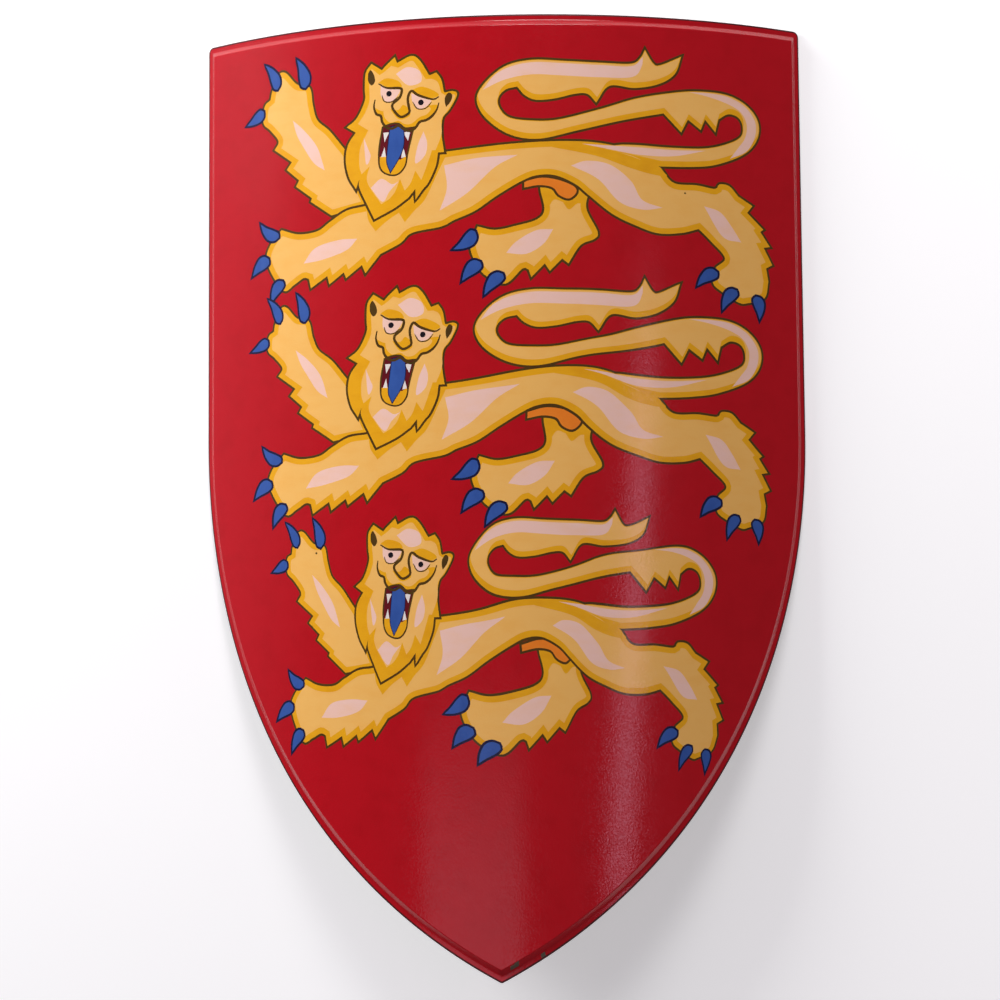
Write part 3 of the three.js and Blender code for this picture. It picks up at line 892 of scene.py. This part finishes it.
def brass():
    finish = Finish("rivet_brass", (196, 158, 88), 0.3, 1.0)
    finish.tint(finish.ranged(finish.noise(220, 5), 0.45, 0.7, 0, 0.6), (132, 98, 50))
    finish.rough(finish.ranged(finish.noise(300, 4), 0.3, 0.7, 0.22, 0.5))
    finish.bump(finish.noise(700, 3), 0.00004)
    return finish.material


LEATHER = strap_leather()
LEATHER_EDGE = cut_leather()
ROD_STEEL = bare_steel("loop_steel", (128, 126, 122), 0.4)
WELD_STEEL = bare_steel("weld_steel", (96, 90, 86), 0.6)
BRASS = brass()


class Strap:
    """A strap's width, span between its bars and slope, and its place in the shield"""

    def __init__(self, name, offset, width, span, slope):
        self.name = name
        self.width = width
        self.span = span
        self.slope = math.radians(slope)
        angle = offset / FACE_RADIUS
        self.origin = bent([(offset, SHIELD_HEIGHT / 2 + STRAP_RISE)], INNER_RADIUS)[0]
        turn = math.pi + angle
        self.axes = np.array([
            [math.cos(turn), 0, -math.sin(turn)],
            [0, 1, 0],
            [math.sin(turn), 0, math.cos(turn)],
        ])

    def placed(self, points):
        """Points of the strap's frame in the shield's frame"""
        return np.asarray(points, float) @ self.axes + self.origin

    def at(self, along, across):
        """A point of the y, z plane beside the upper bar, measured down the strap's slope and out from it"""
        down = np.array([-math.cos(self.slope), math.sin(self.slope)])
        out = np.array([math.sin(self.slope), math.cos(self.slope)])
        return np.array([self.span / 2, LOOP_LIFT]) + down * along + out * across

    def half_line(self):
        """Half of the leather's middle line in the y, z plane: back from the folded tail's cut end, round
        the bar, down the slope and along an arc to the middle of the span"""
        tail = LEATHER_THICKNESS + TOUCH_GAP - FOLD_RADIUS
        rounded = TAIL_ROUNDING * (1 - np.cos(np.linspace(0, math.pi / 2, 9)))
        line = [self.at(TAIL_LENGTH - s, tail) for s in rounded]
        line += [self.at(s, tail) for s in np.linspace(TAIL_LENGTH - TAIL_ROUNDING - 3, FOLD_BLEND, 4)]
        for share in np.linspace(0.1, 1, 10):
            eased = (1 - math.cos(math.pi * share)) / 2
            line.append(self.at(FOLD_BLEND * (1 - share), tail + (FOLD_RADIUS - tail) * eased))
        for angle in np.linspace(0, math.pi, 17)[1:]:
            line.append(self.at(-FOLD_RADIUS * math.sin(angle), FOLD_RADIUS * math.cos(angle)))
        line += [self.at(s, -FOLD_RADIUS) for s in np.linspace(4, TAIL_LENGTH, 8)]
        start = line[-1]
        radius = start[0] / math.sin(self.slope)
        centre = start[1] - radius * math.cos(self.slope)
        for angle in np.linspace(self.slope, 0, 15)[1:]:
            line.append(np.array([radius * math.sin(angle), centre + radius * math.cos(angle)]))
        return np.array(line)


STRAPS = [
    Strap("arm", STRAP_OFFSET, 42, 140, 50),
    Strap("hand", -STRAP_OFFSET, 30, 118, 48),
]


def swept(rings, closed_ends=True):
    """Vertices and faces of a skin through rings of as many points"""
    size = len(rings[0])
    faces = []
    for k in range(len(rings) - 1):
        for i in range(size):
            j = (i + 1) % size
            faces.append([k * size + i, k * size + j, (k + 1) * size + j, (k + 1) * size + i])
    if closed_ends:
        last = (len(rings) - 1) * size
        faces.append(list(range(size))[::-1])
        faces.append([last + i for i in range(size)])
    return np.vstack(rings), faces


def leather_strap(strap):
    """The leather, swept along its line, with rounded ends, a groove along both sides and cut edges of a
    colour of their own"""
    half = strap.half_line()
    line = np.vstack([half, (half[:-1] * [-1, 1])[::-1]])
    along = directions(line)
    normal = np.column_stack([-along[:, 1], along[:, 0]])
    length = np.concatenate([[0], np.cumsum(np.linalg.norm(np.diff(line, axis=0), axis=1))])
    rings = []
    for point, out, s in zip(line, normal, length):
        end = min(s, length[-1] - s, TAIL_ROUNDING)
        half_width = strap.width / 2 - TAIL_ROUNDING + math.sqrt(
            TAIL_ROUNDING ** 2 - (TAIL_ROUNDING - end) ** 2)
        thin = LEATHER_THICKNESS / 2 * (THIN_SHARE + (1 - THIN_SHARE) * min(1, end / THIN_LENGTH))
        groove = (half_width - GROOVE_INSET, thin - GROOVE_DEPTH)
        top = [(groove[0] - GROOVE_HALF_WIDTH, thin), groove, (groove[0] + GROOVE_HALF_WIDTH, thin),
               (half_width - 0.9, thin), (half_width - 0.25, thin * 0.84), (half_width, thin * 0.45)]
        right = top + [(x, -y) for x, y in top[::-1] if (x, y) != groove]
        section = right + [(-x, y) for x, y in right[::-1]]
        rings.append([[x, point[0] + out[0] * y, point[1] + out[1] * y] for x, y in section])
    vertices, faces = swept([np.array(ring) for ring in rings])
    size = len(rings[0])
    cut_edges = {4, 5, 6, size - 7, size - 6, size - 5}
    paints = [1 if i % size in cut_edges else 0 for i in range(len(faces) - 2)] + [1, 1]
    piece = mesh_object(strap.name + "_leather", strap.placed(vertices), faces,
                        [LEATHER, LEATHER_EDGE], paints)
    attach(piece, "root")
    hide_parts(strap.name + "_strap")


def inner_curve(x):
    """How far the sheet's inner face curves into the hollow, at a distance across from the origin"""
    return INNER_RADIUS - math.sqrt(INNER_RADIUS ** 2 - x ** 2)


def rod_path(strap):
    """The loop's middle line in the x, z plane, with rounded corners"""
    leg = strap.width / 2 + LEG_OFFSET
    foot = leg + FOOT_LENGTH
    seat = ROD_RADIUS + TOUCH_GAP
    right = [(foot, inner_curve(foot) + seat), (leg, inner_curve(leg) + seat), (leg, LOOP_LIFT)]
    corners = np.array([(-x, z) for x, z in right] + right[::-1])
    path = [corners[0]]
    for before, corner, after in zip(corners, corners[1:], corners[2:]):
        back = (before - corner) / np.linalg.norm(before - corner)
        ahead = (after - corner) / np.linalg.norm(after - corner)
        half_turn = math.acos(back @ ahead) / 2
        reach = ROD_BEND / math.tan(half_turn)
        middle = (back + ahead) / np.linalg.norm(back + ahead)
        centre = corner + middle * ROD_BEND / math.sin(half_turn)
        start = corner + back * reach - centre
        end = corner + ahead * reach - centre
        turn = math.atan2(start[0] * end[1] - start[1] * end[0], start @ end)
        for angle in np.linspace(0, turn, 9):
            c, s = math.cos(angle), math.sin(angle)
            path.append(centre + [c * start[0] - s * start[1], s * start[0] + c * start[1]])
    path.append(corners[-1])
    return np.array(path)


def weld_bead(strap, side):
    """A rippled bead of weld over a foot of the loop, flat where it meets the sheet"""
    leg = strap.width / 2 + LEG_OFFSET
    start = leg + WELD_START
    end = leg + FOOT_LENGTH + WELD_OVERRUN
    rings = []
    for x in np.linspace(start, end, 34):
        share = (x - start) / (end - start)
        body = math.sqrt(max(0.02, 1 - (2 * share - 1) ** 6))
        ripple = 1 + RIPPLE * math.sin(2 * math.pi * (x - start) / RIPPLE_LENGTH)
        ring = []
        for angle in np.linspace(0, math.pi, 13):
            height = WELD_HEIGHT * body * ripple * math.sin(angle) ** 0.8
            across = WELD_HALF_WIDTH * body * ripple * math.cos(angle)
            ring.append([side * x, across, inner_curve(x) + height - WELD_SINK])
        rings.append(np.array(ring))
    vertices, faces = swept(rings)
    return vertices, faces if side < 0 else [face[::-1] for face in faces]


def rod_loop(strap, end):
    """The loop at one end of the strap, with a weld over each foot"""
    path = rod_path(strap)
    along = directions(path)
    angles = np.linspace(0, 2 * math.pi, 20, endpoint=False)
    rings = []
    for point, way in zip(path, along):
        rings.append(np.column_stack([
            point[0] - way[1] * ROD_RADIUS * np.cos(angles),
            -ROD_RADIUS * np.sin(angles),
            point[1] + way[0] * ROD_RADIUS * np.cos(angles),
        ]))
    parts = [(*swept(rings), 0), (*weld_bead(strap, -1), 1), (*weld_bead(strap, 1), 1)]
    points, joined, paints, total = [], [], [], 0
    for vertices, faces, paint in parts:
        points.append(vertices)
        joined += [[total + i for i in face] for face in faces]
        paints += [paint] * len(faces)
        total += len(vertices)
    local = np.vstack(points) + [0, end * strap.span / 2, 0]
    height = "upper" if end > 0 else "lower"
    piece = mesh_object(f"{strap.name}_rod_{height}", strap.placed(local), joined,
                        [ROD_STEEL, WELD_STEEL], paints)
    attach(piece, "root")
    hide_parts(f"{strap.name}_loop_{height}")


def rivets(strap, end):
    """Domed heads towards the arm, and washers with a hammered shank end on the other side"""
    grip = LEATHER_THICKNESS + TOUCH_GAP / 2 + TOUCH_GAP
    back = -grip - WASHER_HEIGHT
    profile = [(0, back - HAMMERED_HEIGHT), (1.2, back - 0.45), (2.0, back - 0.15), (2.2, back),
               (4.2, back), (RIVET_HEAD, back + 0.25), (RIVET_HEAD, -grip), (SHANK_RADIUS, -grip),
               (SHANK_RADIUS, grip), (RIVET_HEAD, grip)]
    for angle in np.linspace(0.12, 1, 9) * math.pi / 2:
        profile.append((RIVET_HEAD * math.cos(angle), grip + RIVET_HEIGHT * math.sin(angle)))
    middle = strap.at(RIVET_DISTANCE, (LEATHER_THICKNESS + TOUCH_GAP) / 2 - FOLD_RADIUS)
    way = np.array([0, -end * math.sin(strap.slope), -math.cos(strap.slope)])
    across = np.array([1.0, 0, 0])
    third = np.cross(way, across)
    angles = np.linspace(0, 2 * math.pi, 28, endpoint=False)
    rings = [across * (r * np.cos(angles))[:, None] + third * (r * np.sin(angles))[:, None] + way * h
             for r, h in profile]
    vertices, faces = swept(rings, closed_ends=False)
    height = "upper" if end > 0 else "lower"
    for side, hand in ((-1, "right"), (1, "left")):
        place = np.array([side * strap.width / 4, end * middle[0], middle[1]])
        piece = mesh_object(f"{strap.name}_stud_{height}_{hand}", strap.placed(vertices + place),
                            faces, [BRASS])
        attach(piece, "root")
        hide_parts(f"{strap.name}_rivet_{height}_{hand}")


for each in STRAPS:
    leather_strap(each)
    for which in (-1, 1):
        rod_loop(each, which)
        rivets(each, which)


# The studio: a pale floor, three soft lights, and two glowing panels whose reflections show in the gloss

FLOOR_SIZE = 8
FLOOR_GLOW = 0.34
PANEL_HEIGHT = 2.3
WALL_DIRECTION = (-1, 1.2, 0)


def panel(name, size, place, power, mirrored=True):
    """A soft light that points at the shield, and that the gloss may mirror"""
    light = bpy.data.lights.new(name, "AREA")
    light.size = size
    light.energy = power
    holder = bpy.data.objects.new(name, light)
    holder.visible_glossy = mirrored
    holder.location = place
    holder.rotation_euler = Vector(place).to_track_quat("Z", "Y").to_euler()
    bpy.context.scene.collection.objects.link(holder)


def reflected_panel(name, corners, brightness, colour, fade):
    """A glowing panel overhead that the gloss mirrors. It fades out over a distance before its far end."""
    mesh = bpy.data.meshes.new(name)
    mesh.from_pydata([(x, y, PANEL_HEIGHT) for x, y in corners], [], [(0, 1, 2, 3)])
    holder = bpy.data.objects.new(name, mesh)
    bpy.context.scene.collection.objects.link(holder)
    material = bpy.data.materials.new(name)
    material.use_nodes = True
    tree = material.node_tree
    tree.nodes.clear()
    glow = tree.nodes.new("ShaderNodeEmission")
    place = tree.nodes.new("ShaderNodeTexCoord")
    split = tree.nodes.new("ShaderNodeSeparateXYZ")
    end = max(y for _, y in corners)
    tree.links.new(place.outputs["Object"], split.inputs["Vector"])
    level = remapped(tree, split.outputs["Y"], end - fade, end, brightness, 0)
    tree.links.new(level, glow.inputs["Strength"])
    glow.inputs["Color"].default_value = colour
    out = tree.nodes.new("ShaderNodeOutputMaterial")
    tree.links.new(glow.outputs["Emission"], out.inputs["Surface"])
    mesh.materials.append(material)


def sky():
    """A dim room with a pale wall at the upper left, which shows in the gloss there"""
    world = bpy.data.worlds.new("studio")
    world.use_nodes = True
    tree = world.node_tree
    place = tree.nodes.new("ShaderNodeTexCoord")
    wall = tree.nodes.new("ShaderNodeVectorMath")
    wall.operation = "DOT_PRODUCT"
    wall.inputs[1].default_value = WALL_DIRECTION
    tree.links.new(place.outputs["Generated"], wall.inputs[0])
    level = remapped(tree, wall.outputs["Value"], 0.7, 1.3, 0.1, 0.6)
    background = tree.nodes["Background"]
    tree.links.new(level, background.inputs["Strength"])
    background.inputs["Color"].default_value = (1, 0.94, 1.06, 1)
    bpy.context.scene.world = world


def studio():
    bpy.ops.mesh.primitive_plane_add(size=FLOOR_SIZE)
    floor = bpy.context.object
    floor.name = "floor"
    paper = Finish("floor_paper", (246, 246, 246), 0.85)
    paper.tint(paper.ranged(paper.noise(3, 2), 0.4, 0.7, 0, 0.3), (242, 242, 242))
    paper.shader.inputs["Emission Color"].default_value = (1, 1, 1, 1)
    paper.shader.inputs["Emission Strength"].default_value = FLOOR_GLOW
    floor.data.materials.append(paper.material)
    sky()
    panel("key", size=0.9, place=(-2.1, 1.1, 0.95), power=47, mirrored=False)
    panel("fill", size=0.7, place=(0.2, 1.5, 1.2), power=15)
    panel("rim_light", size=0.8, place=(1.9, -1.7, 0.5), power=8, mirrored=False)
    reflected_panel("narrow_panel", [(0.86, -0.62), (1.1, -0.62), (1.62, 0.62), (1.38, 0.62)],
                    brightness=3.0, colour=(1, 0.6, 0.8, 1), fade=0.25)
    reflected_panel("wide_panel", [(-0.95, -1.0), (0.05, -1.0), (0.05, -0.1), (-0.95, -0.1)],
                    brightness=0.85, colour=(1, 0.85, 1, 1), fade=0.45)
    bpy.context.scene.view_settings.view_transform = "Standard"


studio()
